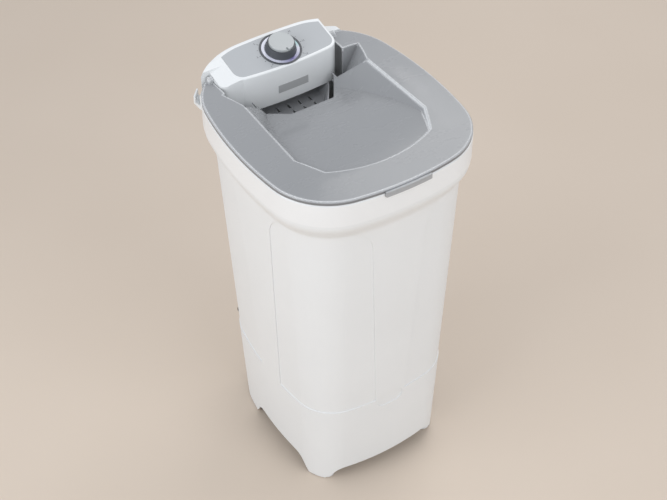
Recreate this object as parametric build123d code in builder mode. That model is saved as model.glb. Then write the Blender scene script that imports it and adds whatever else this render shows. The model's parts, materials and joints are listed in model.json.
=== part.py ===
from build123d import *
from math import atan2, cos, hypot, pi, radians, sin, sqrt, tan
import os

os.makedirs("parts", exist_ok=True)

# Semi-automatic washing machine: a tapered cabinet, an inner tub whose rim band
# hangs over it, a smoked lid scooped around a rear control console, and a belt
# driven agitator. Front faces -Y, Z is up, origin on the floor under the rim.

# Plan of the rim: four bulged sides joined by corner arcs
rim_width = 426.0
rim_depth = 486.0
front_bulge = 41.0
side_bulge = 39.0
back_bulge = 18.5
front_corner_radius = 128.0
rear_corner_radius = 143.0
widest_y = -21.0

# Heights of the body
ground_gap = 2.0
rim_top = 794.0
band_height = 49.0
shoulder_height = 48.0
seat_gap = 0.3

# Cabinet
neck_step = 17.0
body_draft = 34.5
cabinet_wall = 3.0
panel_relief = 1.5
arch_top = 706.0
arch_foot = 215.0
arch_radius = 58.0
arch_gap_top = 60.0
arch_gap_foot = 34.0
side_gap_top = 62.0
side_gap_foot = 36.0
seat_oval_width = 60.0
seat_oval_height = 34.0
seat_oval_z = 207.0
front_arch_half = 134.0
front_arch_height = 34.0
side_arch_half = 104.0
side_arch_height = 40.0
side_arch_y = -26.0
arch_slope_run = 26.0
arch_fillet = 28.0
foot_boss_radius = 16.0
foot_radius = 12.0
foot_height = 14.0

# Tub
tub_wall = 3.0
tub_gap = 3.5
band_wall = 3.0
tub_floor_top = 213.0
tub_floor_thickness = 3.5
rim_ledge = 24.0
rim_edge_bevel = 3.0

# Bottom cover
cover_z = 44.0
cover_thickness = 3.0
vent_length = 46.0
vent_width = 5.0

# Console
console_half = 113.0
console_depth = 93.0
console_front_crown = 7.0
console_bottom = 734.0
console_front_top = 812.0
console_tilt = 12.5
console_wall = 3.0
console_corner = 24.0
rear_overhang = 5.0
hood_bottom = 753.0
hood_round_z = 814.0
hood_top_z = 836.0
hood_top_inset = 6.0
hood_crown = 2.0
shoulder_half = 172.0
shoulder_round = 18.0
shoulder_edge_z = 806.0
shoulder_top_z = 826.0
ear_half = 150.0
ear_round = 10.0
ear_edge_z = 800.0
ear_top_z = 805.0
fairing_width = 30.0
fairing_edge_z = 806.0
fairing_low_z = 782.0
fairing_corner = 14.0
fairing_drop = 1.5
fairing_dip = 1.5
fairing_swell = 9.0
fairing_foot_rise = 8.0
fairing_foot_reach = 2.0
shoulder_clearance = 1.1
ear_clearance = 0.8
overlay_border = 5.0
overlay_thickness = 1.2
label_width = 66.0
label_height = 17.0
label_depth = 1.0
label_z = 764.0
label_x = 6.0
base_thickness = 3.0
console_round = 3.0
console_boss_radius = 5.0
console_screw_front = 61.0
console_screw_rear = 36.4
console_screw_rear_x = 36.0

# Knob and dial
knob_setback = 51.0
knob_x = 4.0
ring_radius = 41.0
ring_inner_radius = 37.0
ring_height = 1.4
inlay_height = 0.8
skirt_radius = 31.0
skirt_top_radius = 27.0
skirt_height = 15.0
cap_radius = 24.5
cap_height = 6.0
knob_gap = 0.4
timer_shaft_radius = 3.0
timer_size = 42.0
timer_height = 24.0
timer_offset = 8.0
timer_drop = 6.0
timer_boss_radius = 12.0
knob_wall = 2.0
knob_hub_radius = 7.0
pointer_length = 12.0
pointer_width = 4.0
pointer_depth = 2.5

# Lid
lid_edge_inset = 0.6
lid_lip = 5.0
lid_bevel = 2.5
lid_rise = 6.0
lid_wall = 3.0
lid_border = 58.0
recess_rear_margin = 79.0
recess_front_margin = 72.0
recess_corner_margin = 151.0
recess_nose_side = 100.0
recess_nose_margin = 93.0
recess_crown_margin = 65.0
recess_slope = 45.0
floor_front_z = 804.0
floor_mid_y = -20.0
floor_mid_z = 788.5
floor_rear_z = 736.0
lid_console_gap = 4.0
lid_side_gap = 1.5
pocket_length = 58.0
pocket_flare = 18.0
pocket_foot_rise = 8.0
pocket_foot_run = 5.0
pocket_foot_flare = 4.0
notch_reach = 77.0
notch_front_half = 47.0
notch_rear_reach = 13.0
notch_rear_half = 88.0
tab_half = 48.0
tab_reach = 4.4
tab_drop = 9.0
tab_gap = 0.4
tab_root = 1.5
hinge_setback = 46.0
hinge_rise = 13.0
hinge_barrel_radius = 6.4
hinge_pin_radius = 3.0
right_barrel_length = 14.0
left_barrel_length = 8.0
lid_tail = 9.0
tail_underside = 5.5
barrel_gap = 0.5
pin_end = 2.5
pin_head = 2.0
fit_gap = 0.1

# Fill chute under the console
chute_depth = 30.0
chute_reach = 55.0
chute_rear_reach = 52.0
chute_front_half = 50.0
chute_rear_half = 86.0
chute_wall = 2.5
chute_taper = 10.0
inlet_x = -60.0
inlet_setback = 59.0
inlet_z = 809.0
inlet_radius = 9.0
inlet_bore = 6.5

# Drive
drive_y = -15.0
shaft_radius = 6.0
shaft_bottom = 84.0
agitator_radius = 138.0
agitator_bottom = 218.0
agitator_edge = 5.0
hub_radius = 30.0
hub_height = 46.0
vane_count = 6
vane_thickness = 9.0
vane_height = 34.0
bearing_flange_radius = 54.0
bearing_flange_thickness = 6.0
bearing_hub_radius = 22.0
bearing_hub_bottom = 120.0
neck_radius = 17.0
bush_radius = 11.0
bush_length = 18.0
running_gap = 0.05
motor_distance = 127.0
belt_width = 9.0
belt_thickness = 5.5
belt_bottom = 100.5
groove_lip = 2.5
pulley_radius = 92.0
motor_pulley_radius = 20.0
belt_seat_gap = 0.3
motor_radius = 52.0
motor_bottom = 122.0
motor_top = 194.0
bracket_thickness = 3.0
capacitor_radius = 18.0
capacitor_height = 64.0

# Drain, hook and filter
drain_side = 113.0
drain_setback = 103.0
drain_radius = 24.0
drain_bore = 11.0
drain_pipe_radius = 14.0
drain_z = 168.0
drain_bend = 20.0
drain_end_setback = 24.0
drain_spigot_radius = 13.0
drain_spigot_length = 18.0
gland_x = 40.0
gland_z = 150.0
gland_radius = 8.0
gland_bore = 4.0
gland_flange = 3.0
screw_radius = 2.0
screw_head = 2.5
motor_bolt_pitch = 60.0
motor_bolt_span = 36.0
bracket_lip = 14.0
tub_boss_radius = 6.5
motor_shaft_radius = 5.0
motor_boss = 12.0
rotor_radius = 29.0
fan_radius = 42.0
capacitor_spot = (100.0, 62.0)
hub_bore = 10.0
hub_boss = 16.0
pulley_hole = 15.0
seal_radius = 13.0
bearing_ribs = 6
bearing_rib = 4.0
housing_screw_circle = 45.0
side_gap = 1.0
cover_rib = 5.0
hook_angle = 139.0
hook_reach = 15.0
hook_width = 26.0
hook_height = 32.0
filter_bottom = 330.0
filter_height = 130.0
filter_width = 92.0
filter_depth = 14.0
filter_y = -30.0
tongue_reach = 5.0
tongue_thickness = 3.0
guide_wall = 4.5
guide_height = 90.0
screen_thickness = 1.2
hook_wall = 3.0


def circle_meet(first, first_radius, second, second_radius, side):
    """Crossing of two circles on one side of the line between their centres."""
    dx = second[0] - first[0]
    dy = second[1] - first[1]
    gap = hypot(dx, dy)
    along = (first_radius**2 - second_radius**2 + gap**2) / (2 * gap)
    across = side * sqrt(first_radius**2 - along**2)
    return (first[0] + (along * dx - across * dy) / gap, first[1] + (along * dy + across * dx) / gap)


def bulge_radius(chord, sagitta):
    return (chord**2 / 4 + sagitta**2) / (2 * sagitta)


front_radius = bulge_radius(rim_width, front_bulge)
side_radius = bulge_radius(rim_depth, side_bulge)
back_radius = bulge_radius(rim_width, back_bulge)
front_centre = (0.0, -rim_depth / 2 + front_radius)
back_centre = (0.0, rim_depth / 2 - back_radius)
side_centre = (rim_width / 2 - side_radius, widest_y)
front_corner = circle_meet(
    front_centre, front_radius - front_corner_radius, side_centre, side_radius - front_corner_radius, 1
)
rear_corner = circle_meet(
    back_centre, back_radius - rear_corner_radius, side_centre, side_radius - rear_corner_radius, -1
)


def direction(start, end):
    return atan2(end[1] - start[1], end[0] - start[0])


def arc_points(centre, radius, start, end):
    """Start, middle and end of an arc about a centre."""
    angles = (start, (start + end) / 2, end)
    return [(centre[0] + radius * cos(a), centre[1] + radius * sin(a)) for a in angles]


def plan_arcs(inset):
    """Right half of the plan, moved in by inset: front, corner, side, corner, back."""
    front_end = direction(front_centre, front_corner)
    side_start = direction(side_centre, front_corner)
    side_end = direction(side_centre, rear_corner)
    back_start = direction(back_centre, rear_corner)
    return [
        arc_points(front_centre, front_radius - inset, -pi / 2, front_end),
        arc_points(front_corner, front_corner_radius - inset, front_end, side_start),
        arc_points(side_centre, side_radius - inset, side_start, side_end),
        arc_points(rear_corner, rear_corner_radius - inset, side_end, back_start),
        arc_points(back_centre, back_radius - inset, back_start, pi / 2),
    ]


def plan_edges(inset):
    """Closed plan outline, moved in by inset."""
    with BuildLine() as outline:
        for points in plan_arcs(inset):
            ThreePointArc(*points)
        mirror(about=Plane.YZ)
    return outline.edges()


def plan_face(inset, mode=Mode.ADD):
    """Face of the plan outline in the sketch being built."""
    make_face(plan_edges(inset), mode=mode)


def plan_loft(levels, mode=Mode.ADD):
    """Solid through plan outlines, each given as (height, inset)."""
    sections = []
    for height, inset in levels:
        with BuildSketch(Plane.XY.offset(height)) as section:
            make_face(plan_edges(inset))
        sections.append(section.sketch.face())
    loft(sections, ruled=True, mode=mode)


band_bottom = rim_top - band_height
neck_z = band_bottom - shoulder_height


def body_inset(height):
    """How far the cabinet's outer wall lies inside the rim, below the shoulder."""
    return neck_step + body_draft * (neck_z - height) / neck_z


def shoulder_levels(extra):
    """Soft S-shaped step from the neck out to the band."""
    steps = 5
    levels = []
    for i in range(steps + 1):
        share = i / steps
        blend = (1 - cos(pi * share)) / 2
        levels.append((neck_z + (shoulder_height - 6) * share, neck_step * (1 - blend) + 1 + extra))
    return levels


def body_levels(extra, low, high):
    """Levels of the cabinet wall, moved in by extra."""
    return [(low, body_inset(low) + 1 + extra)] + shoulder_levels(extra) + [(high, 1 + extra)]


console_front = rim_depth / 2 - console_depth
knob_y = rim_depth / 2 - knob_setback
hinge_y = rim_depth / 2 - hinge_setback
hinge_z = rim_top + hinge_rise
chute_front_y = console_front - chute_reach
chute_rear_y = console_front + chute_rear_reach
chute_bottom = console_bottom - chute_depth
inlet_y = rim_depth / 2 - inlet_setback
drain_x = -(rim_width / 2 - drain_side)
drain_y = rim_depth / 2 - drain_setback
drain_end_y = rim_depth / 2 - drain_end_setback
cabinet_top = band_bottom - seat_gap
shell_inset = panel_relief + cabinet_wall
foot_reach_front = front_corner_radius - body_inset(0) - shell_inset - foot_boss_radius + 2
foot_reach_rear = rear_corner_radius - body_inset(0) - shell_inset - foot_boss_radius + 2
tub_floor_bottom = tub_floor_top - tub_floor_thickness
bracket_top = motor_top + bracket_thickness + seat_gap
motor_y = drive_y + motor_distance
motor_bolt_spots = [
    (side * motor_bolt_pitch, motor_y + end * motor_bolt_span) for side in (-1, 1) for end in (-1, 1)
]
housing_screw_spots = [
    (housing_screw_circle * cos(radians(turned)), drive_y + housing_screw_circle * sin(radians(turned)))
    for turned in (45, 135, 225, 315)
]
shaft_top = agitator_bottom + hub_height - 7
console_screw_x = console_half - console_wall - console_boss_radius + 1
console_screw_spots = [
    (side * x, y)
    for side in (-1, 1)
    for x, y in (
        (console_screw_x, rim_depth / 2 - console_screw_front),
        (console_screw_rear_x, rim_depth / 2 - console_screw_rear),
    )
]
gland_seat_y = rim_depth / 2 - body_inset(gland_z) - 1


def tub_inset(height):
    """How far the tank's outer wall lies inside the rim."""
    return body_inset(height) + shell_inset + tub_gap


def skirt_arch(half, height):
    """Opening between two feet, seen square on."""
    with BuildLine() as outline:
        top = FilletPolyline(
            (-half, 0),
            (-half + arch_slope_run, height),
            (half - arch_slope_run, height),
            (half, 0),
            radius=arch_fillet,
        )
        Line(top @ 1, top @ 0)
    return outline.edges()


def arch_edges(gap_foot, gap_top, reach):
    """One corner column seen square on: straight edge and rounded top."""
    with BuildLine() as outline:
        edge = FilletPolyline(
            (gap_foot, arch_foot),
            (gap_top, arch_top),
            (reach, arch_top + 8),
            radius=arch_radius,
        )
        Polyline(edge @ 1, (reach, arch_foot), edge @ 0)
    return outline.edges()


# Corner columns sunk into the cabinet's skin, with the blank oval seat at the front
with BuildPart() as sunk_fields:
    with BuildSketch(Plane.XZ):
        make_face(arch_edges(arch_gap_foot, arch_gap_top, rim_width))
        mirror(about=Plane.YZ)
    extrude(amount=rim_depth, both=True)
    with BuildSketch(Plane.YZ.shift_origin((0, widest_y, 0))):
        make_face(arch_edges(side_gap_foot, side_gap_top, rim_depth))
        mirror(about=Plane.YZ)
    extrude(amount=rim_width, both=True, mode=Mode.INTERSECT)
    with BuildSketch(Plane.XZ.offset(rim_depth / 4)):
        with Locations((0, seat_oval_z)):
            SlotOverall(seat_oval_width, seat_oval_height)
    extrude(amount=rim_depth / 4)

# Cabinet: one tapered shell open at both ends, on four corner feet
with BuildPart() as cabinet:
    plan_loft(body_levels(0, ground_gap, cabinet_top))
    add(sunk_fields.part, mode=Mode.SUBTRACT)
    plan_loft(body_levels(panel_relief, ground_gap, cabinet_top))
    plan_loft(body_levels(shell_inset, 0, cabinet_top + 5), mode=Mode.SUBTRACT)
    foot_spots = [
        (side * (corner[0] + reach * cos(radians(45))), corner[1] + up * reach * sin(radians(45)))
        for side in (-1, 1)
        for corner, reach, up in ((front_corner, foot_reach_front, -1), (rear_corner, foot_reach_rear, 1))
    ]
    with BuildSketch(Plane.XZ):
        make_face(skirt_arch(front_arch_half, front_arch_height))
    extrude(amount=rim_depth, both=True, mode=Mode.SUBTRACT)
    with BuildSketch(Plane.YZ.shift_origin((0, side_arch_y, 0))):
        make_face(skirt_arch(side_arch_half, side_arch_height))
    extrude(amount=rim_width, both=True, mode=Mode.SUBTRACT)
    with BuildSketch(Plane.XY.offset(foot_height - 4)):
        with Locations(*foot_spots):
            Circle(foot_boss_radius)
        plan_face(body_inset(0) + cabinet_wall, mode=Mode.INTERSECT)
    extrude(amount=cover_z - seat_gap - foot_height + 4)
    with BuildSketch(Plane.XY.offset(ground_gap)):
        with Locations(*foot_spots):
            Circle(foot_boss_radius)
            Circle(foot_radius + fit_gap, mode=Mode.SUBTRACT)
        plan_face(body_inset(0) + cabinet_wall, mode=Mode.INTERSECT)
    extrude(amount=foot_height - 4 - ground_gap)
    with BuildSketch(Plane.XZ.offset(-rim_depth / 4)):
        with Locations((drain_x, drain_z)):
            Circle(drain_pipe_radius + 1)
        with Locations((gland_x, gland_z)):
            Circle(gland_radius + seat_gap)
    extrude(amount=-rim_depth / 4, mode=Mode.SUBTRACT)
    with BuildSketch(Plane.XY.offset(cover_z - 15)):
        with Locations(*foot_spots):
            Circle(screw_radius + fit_gap)
    extrude(amount=15, mode=Mode.SUBTRACT)
cabinet.part.label = "cabinet"
export_step(cabinet.part, "parts/cabinet.step")

# Rubber feet pressed into the four corner bosses
with BuildPart() as rubber_feet:
    with Locations(*foot_spots):
        Cylinder(foot_radius, foot_height - 4 - seat_gap, align=(Align.CENTER, Align.CENTER, Align.MIN))
    chamfer(rubber_feet.faces().sort_by(Axis.Z)[:4].edges(), 1.5)
rubber_feet.part.label = "rubber_feet"
export_step(rubber_feet.part, "parts/rubber_feet.step")

filter_far = abs(filter_y - widest_y) + filter_width / 2 + tongue_reach + guide_wall
filter_x = rim_width / 2 - tub_inset(filter_bottom) - tub_wall - filter_far**2 / (2 * side_radius) - 1
hook_top = rim_top - 5

# Pair of grooved guides that the lint filter slides down into
with BuildPart() as filter_guides:
    with BuildSketch(Plane.XY.offset(filter_bottom - guide_wall)):
        with Locations((filter_x - filter_depth / 2 - 1, filter_y)):
            Rectangle(60, filter_width + 2 * tongue_reach + 2 * guide_wall, align=(Align.MIN, Align.CENTER))
            Rectangle(60, filter_width + 2 * seat_gap, align=(Align.MIN, Align.CENTER), mode=Mode.SUBTRACT)
    extrude(amount=guide_height + guide_wall)
    with BuildSketch(Plane.XY.offset(filter_bottom - seat_gap)):
        with Locations((filter_x - 4.5, filter_y)):
            Rectangle(tongue_thickness + 2 * seat_gap, filter_width + 2 * tongue_reach + 2 * seat_gap)
    extrude(amount=guide_height + seat_gap, mode=Mode.SUBTRACT)
    plan_loft([(z, tub_inset(z) + 1) for z in (tub_floor_bottom, neck_z)], mode=Mode.INTERSECT)

# Inner tub: tank, flat rim, outer band over the cabinet, guides for the lint filter
with BuildPart() as tub:
    plan_loft([(band_bottom, 0), (rim_top - rim_edge_bevel, 0), (rim_top, rim_edge_bevel)])
    plan_loft([(band_bottom - 1, band_wall), (rim_top - band_wall, band_wall)], mode=Mode.SUBTRACT)
    plan_loft(
        [
            (tub_floor_bottom, tub_inset(tub_floor_bottom)),
            (neck_z, tub_inset(neck_z)),
            (rim_top - 1, rim_ledge - tub_wall),
        ]
    )
    plan_loft(
        [
            (tub_floor_top, tub_inset(tub_floor_top) + tub_wall),
            (neck_z, tub_inset(neck_z) + tub_wall),
            (rim_top - 1, rim_ledge),
            (rim_top + 1, rim_ledge),
        ],
        mode=Mode.SUBTRACT,
    )
    with BuildSketch(Plane.XY.offset(tub_floor_bottom)):
        with Locations((0, drive_y)):
            Circle(neck_radius + seat_gap)
        with Locations((drain_x, drain_y)):
            Circle(drain_pipe_radius + seat_gap)
    extrude(amount=tub_floor_thickness, mode=Mode.SUBTRACT)
    with BuildSketch(Plane.XY.offset(bracket_top + seat_gap)):
        with Locations(*motor_bolt_spots):
            Circle(tub_boss_radius)
            Circle(screw_radius + fit_gap, mode=Mode.SUBTRACT)
    extrude(amount=tub_floor_bottom - bracket_top - seat_gap)
    with BuildSketch(Plane.XY.offset(motor_top + seat_gap)):
        with Locations((capacitor_spot[0] + capacitor_radius + 12, capacitor_spot[1])):
            Circle(tub_boss_radius - 1)
    extrude(amount=tub_floor_bottom - motor_top - seat_gap)
    for spot in housing_screw_spots:
        with Locations((spot[0], spot[1], tub_floor_bottom)):
            Cylinder(
                screw_radius + fit_gap,
                tub_floor_thickness - 0.5,
                align=(Align.CENTER, Align.CENTER, Align.MIN),
                mode=Mode.SUBTRACT,
            )
    add(filter_guides.part)
tub.part.label = "tub"
export_step(tub.part, "parts/tub.step")

# Vented cover that closes the drive compartment above the skirt arches
with BuildPart() as bottom_cover:
    with BuildSketch(Plane.XY.offset(cover_z)):
        plan_face(body_inset(cover_z) + shell_inset + 1 + side_gap)
        with Locations(*foot_spots):
            Circle(screw_radius + fit_gap, mode=Mode.SUBTRACT)
        with GridLocations(vent_length * 1.35, vent_width * 3.2, 3, 11):
            SlotOverall(vent_length, vent_width, mode=Mode.SUBTRACT)
    extrude(amount=cover_thickness)
    with BuildSketch(Plane.XY.offset(cover_z + cover_thickness)):
        with GridLocations(vent_length * 1.35, 0, 4, 1):
            Rectangle(cover_thickness, rim_depth / 2)
    extrude(amount=cover_rib)
bottom_cover.part.label = "bottom_cover"
export_step(bottom_cover.part, "parts/bottom_cover.step")


def upright_plane(spot, angle=0.0):
    """Upright plane through an axis: x points outwards at the angle, y points up."""
    return Plane(
        origin=(spot[0], spot[1], 0),
        x_dir=(cos(angle), sin(angle), 0),
        z_dir=(sin(angle), -cos(angle), 0),
    )


def turn(points, spot, mode=Mode.ADD):
    """Turned piece: a closed profile of (radius, height) points about an upright axis."""
    with BuildSketch(upright_plane(spot)) as profile:
        with BuildLine():
            Polyline(*points, close=True)
        make_face()
    revolve(profile.sketch.faces(), axis=Axis((spot[0], spot[1], 0), (0, 0, 1)), mode=mode)


def pin(spot, radius, low, high, mode=Mode.ADD):
    """Plain upright cylinder between two heights."""
    with Locations((spot[0], spot[1], low)):
        Cylinder(radius, high - low, align=(Align.CENTER, Align.CENTER, Align.MIN), mode=mode)


drive = (0, drive_y)
motor = (0, motor_y)
flange_top = tub_floor_bottom - seat_gap
flange_bottom = flange_top - bearing_flange_thickness
upper_bush_z = flange_bottom - bush_length - 6
neck_top = tub_floor_top + 3

# Cast housing that carries the agitator's shaft under the tub
with BuildPart() as bearing_housing:
    turn(
        [
            (bush_radius + running_gap, bearing_hub_bottom),
            (bearing_hub_radius, bearing_hub_bottom),
            (bearing_hub_radius, flange_bottom - 12),
            (bearing_hub_radius + 10, flange_bottom),
            (bearing_flange_radius, flange_bottom),
            (bearing_flange_radius, flange_top),
            (neck_radius, flange_top),
            (neck_radius, neck_top),
            (shaft_radius + 1, neck_top),
            (shaft_radius + 1, neck_top - 6),
            (seal_radius + fit_gap, neck_top - 6),
            (seal_radius + fit_gap, upper_bush_z + bush_length),
            (bush_radius + running_gap, upper_bush_z + bush_length),
            (bush_radius + running_gap, upper_bush_z),
            (shaft_radius + 2, upper_bush_z),
            (shaft_radius + 2, bearing_hub_bottom + bush_length),
            (bush_radius + running_gap, bearing_hub_bottom + bush_length),
        ],
        drive,
    )
    for step in range(bearing_ribs):
        angle = 2 * pi * step / bearing_ribs + pi / bearing_ribs
        with BuildSketch(upright_plane(drive, angle)):
            with BuildLine():
                Polyline(
                    (bearing_hub_radius - 1, flange_bottom + 1),
                    (bearing_flange_radius - 3, flange_bottom + 1),
                    (bearing_hub_radius - 1, bearing_hub_bottom + 22),
                    close=True,
                )
            make_face()
        extrude(amount=bearing_rib / 2, both=True)
    for spot in housing_screw_spots:
        pin(spot, screw_radius + fit_gap, flange_bottom - 1, flange_top + 1, mode=Mode.SUBTRACT)
bearing_housing.part.label = "bearing_housing"
export_step(bearing_housing.part, "parts/bearing_housing.step")

with BuildPart() as shaft_bushes:
    for low in (bearing_hub_bottom + seat_gap, upper_bush_z + seat_gap):
        pin(drive, bush_radius, low, low + bush_length - 2 * seat_gap)
        pin(drive, shaft_radius + running_gap, low, low + bush_length - 2 * seat_gap, mode=Mode.SUBTRACT)
shaft_bushes.part.label = "shaft_bushes"
export_step(shaft_bushes.part, "parts/shaft_bushes.step")

# Lip seal above the upper bush
with BuildPart() as shaft_seal:
    low = upper_bush_z + bush_length + seat_gap
    high = neck_top - 6 - seat_gap
    turn(
        [
            (shaft_radius + running_gap, low + 2),
            (shaft_radius + 3, low),
            (seal_radius, low),
            (seal_radius, high),
            (shaft_radius + running_gap, high),
        ],
        drive,
    )
shaft_seal.part.label = "shaft_seal"
export_step(shaft_seal.part, "parts/shaft_seal.step")

with BuildPart() as housing_screws:
    for spot in housing_screw_spots:
        pin(spot, screw_radius, flange_bottom - seat_gap, tub_floor_top - 1)
        pin(spot, 2 * screw_radius, flange_bottom - seat_gap - screw_head, flange_bottom - seat_gap)
housing_screws.part.label = "housing_screws"
export_step(housing_screws.part, "parts/housing_screws.step")

with BuildPart() as agitator_shaft:
    pin(drive, shaft_radius, shaft_bottom, shaft_top)
    chamfer(agitator_shaft.edges().group_by(Axis.Z)[0], 1)
    pin(drive, screw_radius + fit_gap, shaft_top - 20, shaft_top, mode=Mode.SUBTRACT)
agitator_shaft.part.label = "agitator_shaft"
export_step(agitator_shaft.part, "parts/agitator_shaft.step")

# Envelope that trims the tops of the vanes
with BuildPart() as vane_envelope:
    turn(
        [
            (hub_radius - 6, agitator_bottom + agitator_edge + 1),
            (hub_radius - 6, agitator_bottom + hub_height - 4),
            (hub_radius + 14, agitator_bottom + vane_height + 4),
            (agitator_radius - 26, agitator_bottom + vane_height - 12),
            (agitator_radius - 6, agitator_bottom + agitator_edge),
            (agitator_radius - 16, agitator_bottom + 1.5),
            (agitator_radius / 2, agitator_bottom + agitator_edge + 5),
        ],
        drive,
    )

# Agitator: dished disc with a domed hub and curved vanes
with BuildPart() as agitator:
    with BuildSketch(Plane.XY.offset(agitator_bottom)):
        for step in range(vane_count):
            turned = 360 * step / vane_count
            with BuildLine(mode=Mode.PRIVATE) as spine:
                ThreePointArc((hub_radius - 8, 0), (agitator_radius * 0.56, 15), (agitator_radius, 6))
            trace(spine.line.rotate(Axis.Z, turned), line_width=vane_thickness)
    extrude(amount=hub_height)
    with Locations((0, drive_y, 0)):
        add(agitator.part, mode=Mode.REPLACE)
    add(vane_envelope.part, mode=Mode.INTERSECT)
    turn(
        [
            (shaft_radius + fit_gap, agitator_bottom + 1),
            (hub_radius - 9, agitator_bottom + 1),
            (hub_radius - 9, agitator_bottom + 20),
            (agitator_radius * 0.42, agitator_bottom + 10),
            (agitator_radius * 0.85, agitator_bottom + 4.5),
            (agitator_radius - 4, agitator_bottom),
            (agitator_radius, agitator_bottom),
            (agitator_radius, agitator_bottom + agitator_edge),
            (agitator_radius * 0.87, agitator_bottom + agitator_edge + 4),
            (agitator_radius * 0.44, agitator_bottom + agitator_edge + 10),
            (hub_radius + 4, agitator_bottom + agitator_edge + 22),
            (hub_radius - 3, agitator_bottom + hub_height - 3),
            (hub_radius - 8, agitator_bottom + hub_height),
            (hub_bore, agitator_bottom + hub_height),
            (hub_bore, shaft_top),
            (shaft_radius + fit_gap, shaft_top),
        ],
        drive,
    )
agitator.part.label = "agitator"
export_step(agitator.part, "parts/agitator.step")

with BuildPart() as agitator_screw:
    pin(drive, screw_radius, shaft_top - 18, shaft_top + seat_gap)
    pin(drive, 4 * screw_radius, shaft_top + seat_gap, shaft_top + seat_gap + screw_head)
agitator_screw.part.label = "agitator_screw"
export_step(agitator_screw.part, "parts/agitator_screw.step")

with BuildPart() as agitator_cap:
    low = shaft_top + screw_head + 2 * seat_gap
    high = agitator_bottom + hub_height + seat_gap
    turn(
        [
            (0, low),
            (hub_bore - fit_gap, low),
            (hub_bore - fit_gap, high),
            (hub_bore + 6, high),
            (hub_bore + 4, high + 3),
            (0, high + 4.5),
        ],
        drive,
    )
agitator_cap.part.label = "agitator_cap"
export_step(agitator_cap.part, "parts/agitator_cap.step")

groove_low = belt_bottom - 0.5
groove_high = belt_bottom + belt_width + 0.5
rim_low = groove_low - groove_lip
rim_high = groove_high + groove_lip
groove_radius = pulley_radius - belt_thickness
motor_groove_radius = motor_pulley_radius - belt_thickness

# Large pulley: hub, drilled web and a grooved rim
with BuildPart() as large_pulley:
    turn(
        [
            (shaft_radius + fit_gap, rim_low),
            (hub_boss, rim_low),
            (hub_boss, rim_low + 5),
            (groove_radius - 10, rim_low + 5),
            (groove_radius - 10, rim_low),
            (pulley_radius, rim_low),
            (pulley_radius, rim_low + 1.5),
            (groove_radius, groove_low),
            (groove_radius, groove_high),
            (pulley_radius, rim_high - 1.5),
            (pulley_radius, rim_high),
            (groove_radius - 10, rim_high),
            (groove_radius - 10, rim_high - 5),
            (hub_boss, rim_high - 5),
            (hub_boss, rim_high + 3),
            (shaft_radius + fit_gap, rim_high + 3),
        ],
        drive,
    )
    with BuildSketch(Plane.XY.offset(rim_low)):
        with Locations((0, drive_y)):
            with PolarLocations((hub_boss + groove_radius - 10) / 2, 6):
                Circle(pulley_hole)
    extrude(amount=rim_high - rim_low, mode=Mode.SUBTRACT)
large_pulley.part.label = "large_pulley"
export_step(large_pulley.part, "parts/large_pulley.step")

with BuildPart() as pulley_nut:
    with BuildSketch(Plane.XY.offset(shaft_bottom + 3)):
        with Locations((0, drive_y)):
            RegularPolygon(shaft_radius * 1.7, 6)
            Circle(shaft_radius + fit_gap, mode=Mode.SUBTRACT)
    extrude(amount=rim_low - seat_gap - shaft_bottom - 3)
pulley_nut.part.label = "pulley_nut"
export_step(pulley_nut.part, "parts/pulley_nut.step")

with BuildPart() as motor_pulley:
    turn(
        [
            (motor_shaft_radius + fit_gap, rim_low - 2),
            (motor_groove_radius - 1, rim_low - 2),
            (motor_groove_radius - 1, rim_low),
            (motor_pulley_radius, rim_low),
            (motor_pulley_radius, rim_low + 1.5),
            (motor_groove_radius, groove_low),
            (motor_groove_radius, groove_high),
            (motor_pulley_radius, rim_high - 1.5),
            (motor_pulley_radius, rim_high),
            (motor_shaft_radius + fit_gap, rim_high),
        ],
        motor,
    )
motor_pulley.part.label = "motor_pulley"
export_step(motor_pulley.part, "parts/motor_pulley.step")


def belt_loop(extra):
    """Edges of the two circles that the belt wraps, grown by extra."""
    with BuildLine() as circles:
        CenterArc(drive, groove_radius + belt_seat_gap + extra, 0, 360)
        CenterArc(motor, motor_groove_radius + belt_seat_gap + extra, 0, 360)
    return circles.edges()


with BuildPart() as drive_belt:
    with BuildSketch(Plane.XY.offset(belt_bottom)):
        make_hull(belt_loop(belt_thickness))
        make_hull(belt_loop(0), mode=Mode.SUBTRACT)
    extrude(amount=belt_width)
drive_belt.part.label = "drive_belt"
export_step(drive_belt.part, "parts/drive_belt.step")

# Motor: drawn can, stator ring, rotor and fan on a shaft that points down
with BuildPart() as motor_housing:
    turn(
        [
            (motor_shaft_radius + running_gap, motor_bottom - 2),
            (motor_boss, motor_bottom - 2),
            (motor_boss, motor_bottom),
            (motor_radius - 8, motor_bottom),
            (motor_radius, motor_bottom + 8),
            (motor_radius, motor_top - 8),
            (motor_radius - 8, motor_top),
            (0, motor_top),
            (0, motor_top - 3),
            (motor_shaft_radius + running_gap, motor_top - 3),
            (motor_shaft_radius + running_gap, motor_top - 12),
            (motor_boss, motor_top - 12),
            (motor_boss, motor_top - 3),
            (motor_radius - 9, motor_top - 3),
            (motor_radius - 3, motor_top - 9),
            (motor_radius - 3, motor_bottom + 9),
            (motor_radius - 9, motor_bottom + 3),
            (motor_boss, motor_bottom + 3),
            (motor_boss, motor_bottom + 10),
            (motor_shaft_radius + running_gap, motor_bottom + 10),
        ],
        motor,
    )
    with BuildSketch(Plane.XY.offset(motor_bottom - 1)):
        with Locations(motor):
            with PolarLocations(motor_radius * 0.6, 8):
                SlotOverall(20, 6)
    extrude(amount=6, mode=Mode.SUBTRACT)
motor_housing.part.label = "motor_housing"
export_step(motor_housing.part, "parts/motor_housing.step")

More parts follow.
